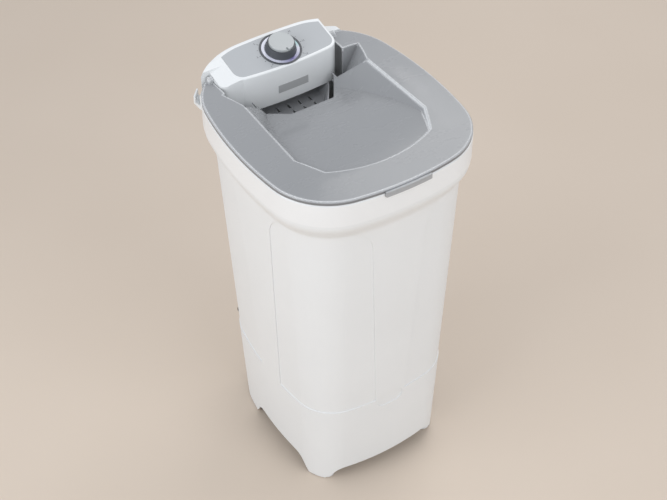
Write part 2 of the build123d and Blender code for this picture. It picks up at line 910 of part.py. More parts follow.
with BuildPart() as stator:
    with BuildSketch(Plane.XY.offset(motor_bottom + 18)):
        with Locations(motor):
            Circle(motor_radius - 3 - fit_gap)
            Circle(rotor_radius + 0.6, mode=Mode.SUBTRACT)
            with PolarLocations(rotor_radius + 7, 12):
                Circle(3.4, mode=Mode.SUBTRACT)
    extrude(amount=motor_top - motor_bottom - 36)
stator.part.label = "stator"
export_step(stator.part, "parts/stator.step")

with BuildPart() as motor_rotor:
    pin(motor, rotor_radius, motor_bottom + 17, motor_top - 17)
    pin(motor, motor_shaft_radius + fit_gap, motor_bottom + 17, motor_top - 17, mode=Mode.SUBTRACT)
    fillet(motor_rotor.edges().filter_by(GeomType.CIRCLE).sort_by(SortBy.RADIUS)[-2:], 1.5)
motor_rotor.part.label = "motor_rotor"
export_step(motor_rotor.part, "parts/motor_rotor.step")

with BuildPart() as motor_shaft:
    pin(motor, motor_shaft_radius, shaft_bottom + 8, motor_top - 4)
    chamfer(motor_shaft.edges().group_by(Axis.Z)[0], 0.8)
motor_shaft.part.label = "motor_shaft"
export_step(motor_shaft.part, "parts/motor_shaft.step")

# Cooling fan between the can and the pulley
fan_low = rim_high + 1.2
with BuildPart() as motor_fan:
    pin(motor, motor_boss, fan_low, fan_low + 5)
    with BuildSketch(Plane.XY.offset(fan_low)):
        with Locations(motor):
            with PolarLocations((motor_boss + fan_radius) / 2 - 1, 8):
                Rectangle(fan_radius - motor_boss + 2, 10, rotation=12)
    extrude(amount=1.4)
    with BuildSketch(Plane.XY.offset(fan_low)):
        with Locations(motor):
            with PolarLocations((motor_boss + fan_radius) / 2 - 1, 8):
                Rectangle(fan_radius - motor_boss + 2, 1.6, rotation=12)
    extrude(amount=5)
    pin(motor, motor_shaft_radius + fit_gap, fan_low, fan_low + 5, mode=Mode.SUBTRACT)
motor_fan.part.label = "motor_fan"
export_step(motor_fan.part, "parts/motor_fan.step")

with BuildPart() as motor_bracket:
    with BuildSketch(Plane.XY.offset(motor_top + seat_gap)):
        with Locations(motor):
            RectangleRounded(2 * motor_bolt_pitch + 20, 2 * motor_bolt_span + 20, 8)
        with Locations(*motor_bolt_spots):
            Circle(screw_radius + fit_gap, mode=Mode.SUBTRACT)
    extrude(amount=bracket_thickness)
    with BuildSketch(Plane.XY.offset(motor_top + seat_gap)):
        with Locations(motor):
            with GridLocations(2 * motor_radius + 2 * bracket_thickness + 1, 0, 2, 1):
                Rectangle(bracket_thickness, motor_bolt_span)
    extrude(amount=-bracket_lip)
motor_bracket.part.label = "motor_bracket"
export_step(motor_bracket.part, "parts/motor_bracket.step")

with BuildPart() as motor_bolts:
    for spot in motor_bolt_spots:
        pin(spot, screw_radius, motor_top, tub_floor_bottom - 1)
        with BuildSketch(Plane.XY.offset(motor_top - screw_head)):
            with Locations(spot):
                RegularPolygon(2.2 * screw_radius, 6)
        extrude(amount=screw_head)
motor_bolts.part.label = "motor_bolts"
export_step(motor_bolts.part, "parts/motor_bolts.step")

with BuildPart() as capacitor:
    pin(capacitor_spot, capacitor_radius, motor_top - capacitor_height, motor_top)
    fillet(capacitor.edges().group_by(Axis.Z)[0], 3)
    with Locations((capacitor_spot[0], capacitor_spot[1], motor_top - capacitor_height)):
        with GridLocations(12, 0, 2, 1):
            Box(1, 6, 8, align=(Align.CENTER, Align.CENTER, Align.MAX))
capacitor.part.label = "capacitor"
export_step(capacitor.part, "parts/capacitor.step")

with BuildPart() as capacitor_clip:
    pin(capacitor_spot, capacitor_radius + 2, motor_top - 14, motor_top)
    pin(capacitor_spot, capacitor_radius + fit_gap, motor_top - 14, motor_top, mode=Mode.SUBTRACT)
    with Locations((capacitor_spot[0] + capacitor_radius + 10, capacitor_spot[1], motor_top)):
        Box(18, 12, 2, align=(Align.CENTER, Align.CENTER, Align.MAX))
capacitor_clip.part.label = "capacitor_clip"
export_step(capacitor_clip.part, "parts/capacitor_clip.step")

with BuildPart() as cover_screws:
    for spot in foot_spots:
        pin(spot, screw_radius, cover_z - 12, cover_z + cover_thickness + seat_gap)
        pin(
            spot,
            2 * screw_radius,
            cover_z + cover_thickness + seat_gap,
            cover_z + cover_thickness + seat_gap + screw_head,
        )
cover_screws.part.label = "cover_screws"
export_step(cover_screws.part, "parts/cover_screws.step")

with BuildPart() as drain_grille:
    with BuildSketch(Plane.XY.offset(tub_floor_top + seat_gap)):
        with Locations((drain_x, drain_y)):
            Circle(drain_radius)
            with GridLocations(0, 6, 1, 6):
                SlotOverall(30, 2.6, mode=Mode.SUBTRACT)
    extrude(amount=2.4)
    chamfer(drain_grille.edges().filter_by(GeomType.CIRCLE).sort_by(SortBy.RADIUS)[-1], 1)
drain_grille.part.label = "drain_grille"
export_step(drain_grille.part, "parts/drain_grille.step")

# Drain elbow from the tank's floor out through the rear wall
with BuildPart() as drain_elbow:
    with BuildLine():
        FilletPolyline(
            (drain_x, drain_y, tub_floor_top),
            (drain_x, drain_y, drain_z),
            (drain_x, drain_end_y, drain_z),
            radius=drain_bend,
        )
    with BuildSketch(Plane.XY.offset(tub_floor_top)):
        with Locations((drain_x, drain_y)):
            Circle(drain_pipe_radius)
            Circle(drain_bore, mode=Mode.SUBTRACT)
    sweep()
    turn(
        [
            (drain_pipe_radius - 1, flange_top - 4),
            (drain_radius, flange_top - 4),
            (drain_radius, flange_top),
            (drain_pipe_radius - 1, flange_top),
        ],
        (drain_x, drain_y),
    )
    with BuildSketch(Plane.XZ.offset(-drain_end_y)):
        with Locations((drain_x, drain_z)):
            Circle(drain_pipe_radius + 1)
            Circle(drain_spigot_radius, mode=Mode.SUBTRACT)
    extrude(amount=drain_spigot_length, mode=Mode.SUBTRACT)
drain_elbow.part.label = "drain_elbow"
export_step(drain_elbow.part, "parts/drain_elbow.step")

with BuildPart() as cord_gland:
    with BuildSketch(Plane.XZ.offset(-gland_seat_y)):
        with Locations((gland_x, gland_z)):
            Circle(gland_radius + 3)
    extrude(amount=gland_flange, both=True)
    plan_loft(body_levels(-seat_gap, ground_gap, cabinet_top)[:2], mode=Mode.SUBTRACT)
    with BuildSketch(Plane.XZ.offset(-gland_seat_y)):
        with Locations((gland_x, gland_z)):
            Circle(gland_radius)
    extrude(amount=3 * gland_flange)
    with BuildSketch(Plane.XZ.offset(-gland_seat_y)):
        with Locations((gland_x, gland_z)):
            Circle(gland_bore)
    extrude(amount=4 * gland_flange, both=True, mode=Mode.SUBTRACT)
cord_gland.part.label = "cord_gland"
export_step(cord_gland.part, "parts/cord_gland.step")

top_slope = radians(console_tilt)
rear_face = -rear_overhang
rim_gap = rim_ledge + tub_wall + seat_gap
chute_top = console_bottom - seat_gap
console_floor = rim_top + seat_gap
fairing_half = console_half + fairing_width
shoulder_front = hinge_y + hinge_barrel_radius + shoulder_clearance
ear_front = hinge_y + lid_tail + ear_clearance
hinge_sides = [(-1, fairing_half, left_barrel_length), (1, console_half, right_barrel_length)]


def panel_height(y):
    """Height of the console's sloping top above a point of the plan."""
    return console_front_top + (y - console_front) * tan(top_slope)


def panel_plane(depth=0):
    """Plane of the console's sloping top, or one below it, with its origin on the knob's axis."""
    normal = (0, -sin(top_slope), cos(top_slope))
    origin = (knob_x, knob_y + depth * sin(top_slope), panel_height(knob_y) - depth * cos(top_slope))
    return Plane(origin=origin, x_dir=(1, 0, 0), z_dir=normal)


def console_face(inset, mode=Mode.ADD):
    """Console seen from above, open at the rear: bowed front, rounded corners, straight sides."""
    half = console_half - inset
    side_y = console_front + console_front_crown + inset
    with BuildSketch(mode=Mode.PRIVATE) as plan:
        with BuildLine():
            front = ThreePointArc((-half, side_y), (0, console_front + inset), (half, side_y))
            Polyline(front @ 1, (half, rim_depth), (-half, rim_depth), front @ 0)
        make_face()
        fillet(plan.vertices().sort_by(Axis.Y)[:2], console_corner - inset)
    add(plan.sketch, mode=mode)


def rear_ring(inner, outer):
    """Strip of the plan between two insets, well past the console's sides."""
    plan_face(outer)
    plan_face(inner, mode=Mode.SUBTRACT)


def hood_levels(extra):
    """Levels of the console's rear wall, upright and then drawn in to the top edge."""
    return [
        (console_bottom - 2, rear_face + extra),
        (hood_round_z, rear_face + extra),
        ((hood_round_z + hood_top_z) / 2, (rear_face + hood_top_inset) / 2 - hood_crown + extra),
        (hood_top_z, hood_top_inset + extra),
    ]


def fairing_block(inset):
    """Fairing that carries the console's front out to the left, down over the lid's arm."""
    front = console_front + console_front_crown + inset
    crest = panel_height(front) - fairing_drop - inset
    start = console_half - console_corner
    edge = fairing_half - inset
    with BuildPart(mode=Mode.PRIVATE) as block:
        with BuildSketch(Plane.XZ.offset(-front)) as section:
            with BuildLine():
                top = ThreePointArc(
                    (-start, crest),
                    (-(start + edge) / 2 - fairing_swell, crest - fairing_dip),
                    (-edge, fairing_edge_z - inset),
                )
                Polyline(
                    top @ 1,
                    (-edge, fairing_low_z + inset),
                    (-console_half - fairing_foot_reach + inset, console_bottom + fairing_foot_rise + inset),
                    (-start, console_bottom + inset),
                    top @ 0,
                )
            make_face()
        extrude(section.sketch.faces(), amount=rim_depth, dir=(0, cos(top_slope), sin(top_slope)))
        corner = block.faces().sort_by(Axis.Y)[0].edges().filter_by(Axis.Z).sort_by(Axis.X)[0]
        fillet(corner, fairing_corner - inset)
    return block.part


def shoulder_block(side, half, front, edge_z, top_z, rounding, inset):
    """Shoulder over one rear corner of the rim, rounded at its outer end."""
    with BuildPart(mode=Mode.PRIVATE) as block:
        with BuildSketch(Plane.XZ.offset(-front - inset)) as section:
            with BuildLine():
                end = ThreePointArc(
                    (half - inset, edge_z - inset),
                    (half - inset - 0.3 * rounding, edge_z + 0.7 * (top_z - edge_z) - inset),
                    (half - inset - rounding, top_z - inset),
                )
                Polyline(
                    end @ 1,
                    (0, top_z - inset),
                    (0, hood_bottom - 1),
                    (half - inset, hood_bottom - 1),
                    end @ 0,
                )
            make_face()
            if side < 0:
                mirror(about=Plane.YZ, mode=Mode.REPLACE)
        extrude(section.sketch.faces(), amount=rim_depth, dir=(0, 1, 0))
        split(bisect_by=panel_plane(fairing_drop + inset), keep=Keep.BOTTOM)
    return block.part


def left_shoulder(inset):
    """Shoulder to the left of the fairing, moved in by inset."""
    return shoulder_block(
        -1, shoulder_half, shoulder_front, shoulder_edge_z, shoulder_top_z, shoulder_round, inset
    )


# Inside of the console: wide above the rim, and between the tank's walls below it
with BuildPart() as console_hollow:
    with BuildSketch(Plane.XY.offset(console_bottom - 1)):
        console_face(console_wall)
    extrude(amount=rim_depth)
    split(bisect_by=panel_plane(console_wall), keep=Keep.BOTTOM)
    add(fairing_block(console_wall))
    with BuildSketch(Plane.XY.offset(console_bottom - 2)):
        plan_face(rim_gap + console_wall)
    extrude(amount=rim_depth, mode=Mode.INTERSECT)
with BuildPart() as console_loft:
    with BuildSketch(Plane.XY.offset(console_floor + console_wall)):
        console_face(console_wall)
    extrude(amount=rim_depth)
    split(bisect_by=panel_plane(console_wall), keep=Keep.BOTTOM)
    add(fairing_block(console_wall))
    add(left_shoulder(console_wall))
    plan_loft(hood_levels(console_wall), mode=Mode.INTERSECT)
    split(bisect_by=Plane.XY.offset(console_floor + console_wall), keep=Keep.TOP)

# Fairing and shoulders beside the console, over the rim's rear corners
with BuildPart() as console_sides:
    add(fairing_block(0))
    add(left_shoulder(0))
    add(shoulder_block(1, ear_half, ear_front, ear_edge_z, ear_top_z, ear_round, 0))
    plan_loft(hood_levels(0), mode=Mode.INTERSECT)


def overlay_blank(inset, depth):
    """Plate under the console's sloping top, with its edge moved in by inset."""
    with BuildPart(mode=Mode.PRIVATE) as blank:
        with BuildSketch(Plane.XY.offset(console_front_top - 2 * console_corner)):
            console_face(inset)
            plan_face(hood_top_inset - 1 + inset, mode=Mode.INTERSECT)
        extrude(amount=rim_depth)
        split(bisect_by=panel_plane(), keep=Keep.BOTTOM)
        split(bisect_by=panel_plane(depth), keep=Keep.TOP)
    return blank.part


def label_blank(outer, inner, grow):
    """Piece of the console's bowed front between two insets, as large as the label."""
    with BuildPart(mode=Mode.PRIVATE) as blank:
        with BuildSketch(Plane.XY.offset(label_z - label_height / 2 - grow)):
            console_face(outer)
            console_face(inner, mode=Mode.SUBTRACT)
            with Locations((label_x, console_front)):
                Rectangle(label_width + 2 * grow, 4 * console_front_crown, mode=Mode.INTERSECT)
        extrude(amount=label_height + 2 * grow)
    return blank.part


overlay_seat = overlay_blank(overlay_border - fit_gap, overlay_thickness + fit_gap)
overlay_plate = overlay_blank(overlay_border, overlay_thickness)
label_seat = label_blank(-1, label_depth / 2 + fit_gap, fit_gap)
label_blank_plate = label_blank(-label_depth / 2, label_depth / 2, 0)

# Console housing: hood with a sloping top, shoulders and a skirt behind the rim band
with BuildPart() as console_housing:
    with BuildSketch(Plane.XY.offset(console_bottom)):
        console_face(0)
    extrude(amount=rim_depth)
    split(bisect_by=panel_plane(), keep=Keep.BOTTOM)
    plan_loft(hood_levels(0), mode=Mode.INTERSECT)
    sloping_top = console_housing.faces().filter_by(panel_plane()).sort_by(Axis.Z)[-1]
    fillet(sloping_top.edges(), console_round)
    add(console_sides.part)
    with BuildSketch(Plane.XY.offset(console_bottom - 1)):
        rear_ring(rim_gap, -seat_gap)
    extrude(amount=console_floor - console_bottom + 1, mode=Mode.SUBTRACT)
    with BuildSketch(Plane.XY.offset(console_bottom - 1)):
        rear_ring(-seat_gap, rear_face - 1)
    extrude(amount=hood_bottom - console_bottom + 1, mode=Mode.SUBTRACT)
    add(console_hollow.part, mode=Mode.SUBTRACT)
    add(console_loft.part, mode=Mode.SUBTRACT)
    with BuildSketch(Plane.XY.offset(console_bottom + base_thickness + seat_gap)):
        with Locations(*console_screw_spots):
            Circle(console_boss_radius)
            Circle(screw_radius + fit_gap, mode=Mode.SUBTRACT)
    extrude(until=Until.LAST)
    add(overlay_seat, mode=Mode.SUBTRACT)
    add(label_seat, mode=Mode.SUBTRACT)
    with BuildSketch(panel_plane(console_wall + timer_drop - seat_gap)):
        Circle(timer_boss_radius)
    extrude(amount=timer_drop)
    with BuildSketch(panel_plane(console_wall + timer_drop)):
        Circle(timer_shaft_radius + 2)
    extrude(amount=2 * timer_drop, mode=Mode.SUBTRACT)
    with BuildSketch(Plane.YZ):
        with Locations((hinge_y, hinge_z)):
            Circle(hinge_pin_radius + running_gap)
    extrude(amount=fairing_half + 1, both=True, mode=Mode.SUBTRACT)
    with BuildSketch(Plane.XZ.offset(-rim_depth / 2 + console_wall)):
        with Locations((inlet_x, inlet_z)):
            Circle(inlet_radius + fit_gap)
    extrude(amount=-console_wall * 4, mode=Mode.SUBTRACT)
console_housing.part.label = "console_housing"
export_step(console_housing.part, "parts/console_housing.step")

# Plate that closes the console from below
with BuildPart() as console_base:
    with BuildSketch(Plane.XY.offset(console_bottom)):
        console_face(console_wall + seat_gap)
        plan_face(rim_gap + console_wall + seat_gap, mode=Mode.INTERSECT)
        with Locations(*console_screw_spots):
            Circle(screw_radius + fit_gap, mode=Mode.SUBTRACT)
        with Locations((inlet_x, inlet_y)):
            Circle(inlet_radius + fit_gap, mode=Mode.SUBTRACT)
    extrude(amount=base_thickness)
console_base.part.label = "console_base"
export_step(console_base.part, "parts/console_base.step")

with BuildPart() as console_screws:
    for spot in console_screw_spots:
        pin(spot, screw_radius, console_bottom - seat_gap, console_bottom + 6 * screw_radius)
        pin(spot, 2 * screw_radius, console_bottom - seat_gap - screw_head, console_bottom - seat_gap)
console_screws.part.label = "console_screws"
export_step(console_screws.part, "parts/console_screws.step")

# Grey plate let into the sloping top
with BuildPart() as panel_overlay:
    add(overlay_plate)
    with BuildSketch(panel_plane(2 * overlay_thickness)):
        Circle(timer_shaft_radius + 2)
    extrude(amount=3 * overlay_thickness, mode=Mode.SUBTRACT)
panel_overlay.part.label = "panel_overlay"
export_step(panel_overlay.part, "parts/panel_overlay.step")

with BuildPart() as label_plate:
    add(label_blank_plate)
label_plate.part.label = "label_plate"
export_step(label_plate.part, "parts/label_plate.step")

with BuildPart() as dial_ring:
    with BuildSketch(panel_plane(-fit_gap)):
        Circle(ring_radius)
        Circle(ring_inner_radius, mode=Mode.SUBTRACT)
    extrude(amount=ring_height)
    chamfer(dial_ring.edges().filter_by(GeomType.CIRCLE).sort_by(Axis.Z)[-1:], 0.6)
dial_ring.part.label = "dial_ring"
export_step(dial_ring.part, "parts/dial_ring.step")

with BuildPart() as dial_inlay:
    with BuildSketch(panel_plane(-fit_gap)):
        Circle(ring_inner_radius - fit_gap)
        Circle(skirt_radius - 4, mode=Mode.SUBTRACT)
    extrude(amount=inlay_height)
dial_inlay.part.label = "dial_inlay"
export_step(dial_inlay.part, "parts/dial_inlay.step")

# Knob: tapered cup on the timer's shaft, with a flat cap and its pointer notch
skirt_foot = fit_gap + inlay_height + knob_gap
with BuildPart() as knob_skirt:
    with BuildSketch(panel_plane(-skirt_foot)):
        Circle(skirt_radius)
    with BuildSketch(panel_plane(-skirt_foot - skirt_height)):
        Circle(skirt_top_radius)
    loft()
    with BuildSketch(panel_plane(-skirt_foot)):
        Circle(skirt_radius - knob_wall)
    with BuildSketch(panel_plane(-skirt_foot - skirt_height + knob_wall)):
        Circle(skirt_top_radius - knob_wall)
    loft(mode=Mode.SUBTRACT)
    with BuildSketch(panel_plane(-skirt_foot)):
        Circle(knob_hub_radius)
        with PolarLocations((knob_hub_radius + skirt_top_radius) / 2 - 1, 4):
            Rectangle(skirt_top_radius - knob_hub_radius, knob_wall)
    extrude(amount=skirt_height - knob_wall / 2)
    with BuildSketch(panel_plane(-skirt_foot + 1)):
        Circle(timer_shaft_radius + fit_gap)
    extrude(amount=skirt_height - knob_wall, mode=Mode.SUBTRACT)
    with BuildSketch(panel_plane(-skirt_foot - skirt_height)):
        Circle(skirt_top_radius - knob_wall)
    extrude(amount=-1, mode=Mode.SUBTRACT)
knob_skirt.part.label = "knob_skirt"
export_step(knob_skirt.part, "parts/knob_skirt.step")

with BuildPart() as knob_cap:
    with BuildSketch(panel_plane(-skirt_foot - skirt_height + 1 - fit_gap)):
        Circle(cap_radius)
    extrude(amount=cap_height)
    chamfer(knob_cap.edges().filter_by(GeomType.CIRCLE).sort_by(Axis.Z)[-1:], 0.8)
    with BuildSketch(panel_plane(-skirt_foot - skirt_height - cap_height + 1)):
        with Locations((0, -cap_radius)):
            SlotOverall(pointer_length, pointer_width, rotation=90)
    extrude(amount=pointer_depth, both=True, mode=Mode.SUBTRACT)
knob_cap.part.label = "knob_cap"
export_step(knob_cap.part, "parts/knob_cap.step")

timer_top = console_wall + timer_drop
with BuildPart() as timer_body:
    with BuildSketch(panel_plane(timer_top)):
        with Locations((0, -timer_offset)):
            RectangleRounded(timer_size, timer_size, 4)
    extrude(amount=-timer_height)
    with BuildSketch(panel_plane(timer_top + timer_height)):
        with Locations((0, -timer_offset)):
            with GridLocations(timer_size / 4, 0, 3, 1):
                Rectangle(1, 6)
    extrude(amount=-7)
    with BuildSketch(panel_plane(timer_top)):
        Circle(timer_shaft_radius + running_gap)
    extrude(amount=-timer_height / 2, mode=Mode.SUBTRACT)
timer_body.part.label = "timer_body"
export_step(timer_body.part, "parts/timer_body.step")

with BuildPart() as timer_shaft:
    with BuildSketch(panel_plane(timer_top + timer_height / 2 - seat_gap)):
        Circle(timer_shaft_radius)
    shaft_reach = skirt_foot + skirt_height - knob_wall - 1 - fit_gap
    extrude(amount=timer_top + timer_height / 2 - seat_gap + shaft_reach)
timer_shaft.part.label = "timer_shaft"
export_step(timer_shaft.part, "parts/timer_shaft.step")


def chute_edges(inset):
    """Trough seen from above: narrow mouth at the front, full width under the console."""
    with BuildLine() as outline:
        Polyline(
            (-chute_rear_half + inset, chute_rear_y - inset),
            (-chute_rear_half + inset, console_front),
            (-chute_front_half + inset * 0.7, chute_front_y + inset),
            (chute_front_half - inset * 0.7, chute_front_y + inset),
            (chute_rear_half - inset, console_front),
            (chute_rear_half - inset, chute_rear_y - inset),
            close=True,
        )
    return outline.edges()


# Dark trough under the console that spreads the incoming water over the tub
with BuildPart() as inlet_chute:
    for height, inset in ((chute_bottom, chute_taper), (chute_top, 0)):
        with BuildSketch(Plane.XY.offset(height)):
            make_face(chute_edges(inset))
    loft(ruled=True)
    hollow_foot = (chute_bottom + chute_wall, chute_taper + chute_wall - 1)
    for height, inset in (hollow_foot, (chute_top + 0.1, chute_wall)):
        with BuildSketch(Plane.XY.offset(height)):
            make_face(chute_edges(inset))
    loft(ruled=True, mode=Mode.SUBTRACT)
    with BuildSketch(Plane.XY.offset(chute_bottom)):
        with Locations((0, console_front)):
            with GridLocations(24, 22, 5, 2):
                SlotOverall(14, 4, rotation=90)
    extrude(amount=chute_wall, mode=Mode.SUBTRACT)
inlet_chute.part.label = "inlet_chute"
export_step(inlet_chute.part, "parts/inlet_chute.step")

# Hose spigot: in through the console's rear wall and down into the chute
with BuildPart() as water_inlet:
    with BuildLine():
        FilletPolyline(
            (inlet_x, rim_depth / 2 + rear_overhang - 1, inlet_z),
            (inlet_x, inlet_y, inlet_z),
            (inlet_x, inlet_y, chute_top - 8),
            radius=1.6 * inlet_radius,
        )
    with BuildSketch(Plane.XZ.offset(-rim_depth / 2 - rear_overhang + 1)):
        with Locations((inlet_x, inlet_z)):
            Circle(inlet_radius)
            Circle(inlet_bore, mode=Mode.SUBTRACT)
    sweep()
water_inlet.part.label = "water_inlet"
export_step(water_inlet.part, "parts/water_inlet.step")


def recess_edges():
    """Outline of the lid's recess at the level of the lid's flat border."""
    with BuildLine() as outline:
        Polyline(
            (-recess_rear_half, rim_depth / 2),
            (-recess_rear_half, lid_rear_wall_y),
            (-recess_front_half, recess_corner_y),
            (-recess_nose_half, recess_nose_y),
        )
        ThreePointArc(
            (-recess_nose_half, recess_nose_y), (0, recess_crown_y), (recess_nose_half, recess_nose_y)
        )
        Polyline(
            (recess_nose_half, recess_nose_y),
            (recess_front_half, recess_corner_y),
            (recess_rear_half, lid_rear_wall_y),
            (recess_rear_half, rim_depth / 2),
            (-recess_rear_half, rim_depth / 2),
        )
    return outline.edges()


def recess_block(drop, rear_y):
    """Scoop between the console and the lid's front, lowered by drop and cut off behind rear_y."""
    with BuildPart(mode=Mode.PRIVATE) as block:
        with BuildSketch(Plane.XY.offset(lid_top - drop)):
            make_face(recess_edges())
        extrude(amount=-(lid_top - floor_rear_z + 10), taper=recess_slope)
        with BuildSketch(Plane.YZ):
            with BuildLine():
                floor = ThreePointArc(
                    (recess_crown_y, floor_front_z - drop),
                    (floor_mid_y, floor_mid_z - drop),
                    (lid_rear_wall_y, floor_rear_z - drop),
                )
                Polyline(
                    floor @ 1,
                    (rear_y, floor_rear_z - drop),
                    (rear_y, lid_top + 1),
                    (recess_crown_y - 5, lid_top + 1),
                    (recess_crown_y - 5, floor_front_z - drop),
                    floor @ 0,
                )
            make_face()
        extrude(amount=rim_width, both=True, mode=Mode.INTERSECT)
    return block.part


def pocket_block(drop, wall):
    """Pocket of the recess beside one lower corner of the console, grown by a wall."""
    front = lid_rear_wall_y - pocket_length - wall
    rear = lid_rear_wall_y + wall
    near = console_half - console_corner
    top_corner = recess_rear_half + wall
    foot_corner = console_half + side_gap + wall
    with BuildPart(mode=Mode.PRIVATE) as block:
        for height, corners in (
            (
                floor_rear_z + pocket_foot_rise - drop,
                [(foot_corner, rear - pocket_foot_run - 2 * wall), (foot_corner + pocket_foot_flare, rear)],
            ),
            (lid_top + 1, [(top_corner, front), (top_corner + pocket_flare, rear)]),
        ):
            with BuildSketch(Plane.XY.offset(height)):
                with BuildLine():
                    Polyline((near, corners[0][1]), *corners, (near, rear), close=True)
                make_face()
        loft(ruled=True)
        mirror(about=Plane.YZ)
        if wall:
            plan_loft([(floor_rear_z - lid_rise, 0)] + lid_levels, mode=Mode.INTERSECT)
    return block.part


lid_top = rim_top + seat_gap + lid_lip + lid_bevel + lid_rise
lid_rear_wall_y = console_front - lid_console_gap
recess_rear_half = rim_width / 2 - recess_rear_margin
recess_front_half = rim_width / 2 - recess_front_margin
recess_nose_half = rim_width / 2 - recess_nose_side
recess_corner_y = recess_corner_margin - rim_depth / 2
recess_nose_y = recess_nose_margin - rim_depth / 2
recess_crown_y = recess_crown_margin - rim_depth / 2
notch_front_y = console_front - notch_reach
notch_rear_y = console_front - notch_rear_reach
lid_levels = [
    (rim_top + seat_gap, lid_edge_inset),
    (rim_top + seat_gap + lid_lip, lid_edge_inset),
    (rim_top + seat_gap + lid_lip + lid_bevel, lid_edge_inset + lid_bevel),
    (lid_top, lid_border),
]
scoop = recess_block(0, lid_rear_wall_y)
scoop_shell = recess_block(lid_wall * 1.2, lid_rear_wall_y + lid_wall)
pocket = pocket_block(0, 0)
pocket_shell = pocket_block(lid_wall, lid_wall)

# Lid: one thin smoked moulding, crowned at its edge and scooped down to the console
with BuildPart() as lid:
    plan_loft(lid_levels)
    plan_loft(
        [(lid_levels[0][0] - 1, lid_edge_inset + lid_wall)]
        + [(height - lid_wall, inset + lid_wall * 0.8) for height, inset in lid_levels[1:]],
        mode=Mode.SUBTRACT,
    )
    add(scoop_shell)
    add(pocket_shell)
    add(scoop, mode=Mode.SUBTRACT)
    add(pocket, mode=Mode.SUBTRACT)
    with BuildSketch(Plane.XY.offset(floor_rear_z - 10)):
        with Locations((0, lid_rear_wall_y)):
            Rectangle(2 * (console_half + lid_side_gap), rim_depth, align=(Align.CENTER, Align.MIN))
        with Locations((-fairing_half - lid_side_gap, lid_rear_wall_y)):
            Rectangle(fairing_half, rim_depth, align=(Align.MIN, Align.MIN))
        with Locations((0, hinge_y + lid_tail)):
            Rectangle(2 * rim_width, rim_depth, align=(Align.CENTER, Align.MIN))
        with Locations((-fairing_half, hinge_y + hinge_barrel_radius)):
            Rectangle(rim_width, rim_depth, align=(Align.CENTER, Align.MIN))
        with BuildLine():
            Polyline(
                (-notch_front_half, notch_front_y),
                (-notch_rear_half, notch_rear_y),
                (-notch_rear_half, console_front),
                (notch_rear_half, console_front),
                (notch_rear_half, notch_rear_y),
                (notch_front_half, notch_front_y),
                close=True,
            )
        make_face()
    extrude(amount=rim_depth, mode=Mode.SUBTRACT)
    with BuildSketch(Plane.XY.offset(rim_top + seat_gap + lid_lip - 1)):
        with Locations((0, -rim_depth / 2)):
            Rectangle(2 * tab_half, 40)
        plan_face(-tab_reach - lid_edge_inset, mode=Mode.INTERSECT)
        plan_face(lid_edge_inset + lid_wall, mode=Mode.SUBTRACT)
    extrude(amount=tab_root - lid_lip)
    with BuildSketch(Plane.XY.offset(rim_top + lid_lip - 2)):
        with Locations((0, -rim_depth / 2)):
            Rectangle(2 * tab_half, 40)
        plan_face(-tab_reach - lid_edge_inset, mode=Mode.INTERSECT)
        plan_face(-tab_gap, mode=Mode.SUBTRACT)
    extrude(amount=-tab_drop)
    with BuildSketch(Plane.XY.offset(rim_top)):
        with Locations((0, hinge_y - 1)):
            Rectangle(2 * rim_width, rim_depth, align=(Align.CENTER, Align.MIN))
    extrude(amount=tail_underside, mode=Mode.SUBTRACT)
    for side, wall_x, length in hinge_sides:
        with BuildSketch(Plane.YZ.offset(side * (wall_x + barrel_gap))):
            with Locations((hinge_y, hinge_z)):
                Circle(hinge_barrel_radius)
        extrude(amount=side * length)
    with BuildSketch(Plane.YZ):
        with Locations((hinge_y, hinge_z)):
            Circle(hinge_pin_radius + running_gap)
    extrude(amount=rim_width / 2, both=True, mode=Mode.SUBTRACT)
lid.part.label = "lid"
export_step(lid.part, "parts/lid.step")

with BuildPart() as hinge_pins:
    for side, wall_x, length in hinge_sides:
        with BuildSketch(Plane.YZ.offset(side * (wall_x - console_wall - pin_head))):
            with Locations((hinge_y, hinge_z)):
                Circle(hinge_pin_radius)
        extrude(amount=side * (length + console_wall + pin_end))
        with BuildSketch(Plane.YZ.offset(side * (wall_x - console_wall - fit_gap))):
            with Locations((hinge_y, hinge_z)):
                Circle(1.3 * hinge_pin_radius)
        extrude(amount=-side * pin_head)
hinge_pins.part.label = "hinge_pins"
export_step(hinge_pins.part, "parts/hinge_pins.step")

# Hook at the rear left corner that the drain hose is parked on
rear_left = (-rear_corner[0], rear_corner[1])
hook_out = radians(hook_angle)
with BuildPart() as hose_hook:
    back = rear_corner_radius + seat_gap
    with BuildSketch(upright_plane(rear_left, hook_out)):
        with BuildLine():
            Polyline(
                (back - 2, hook_top),
                (back - 2, hook_top - hook_height),
                (back + hook_wall, hook_top - hook_height),
                (back + hook_reach, hook_top - 0.55 * hook_height),
                (back + hook_reach, hook_top - 2),
                (back + hook_reach - hook_wall, hook_top - 2),
                (back + hook_reach - hook_wall, hook_top - 0.5 * hook_height),
                (back + hook_wall, hook_top - 0.7 * hook_height),
                (back + hook_wall, hook_top),
                close=True,
            )
        make_face()
    extrude(amount=hook_width / 2, both=True)
    pin(rear_left, back, hook_top - hook_height - 1, hook_top + 1, mode=Mode.SUBTRACT)
hose_hook.part.label = "hose_hook"
export_step(hose_hook.part, "parts/hose_hook.step")

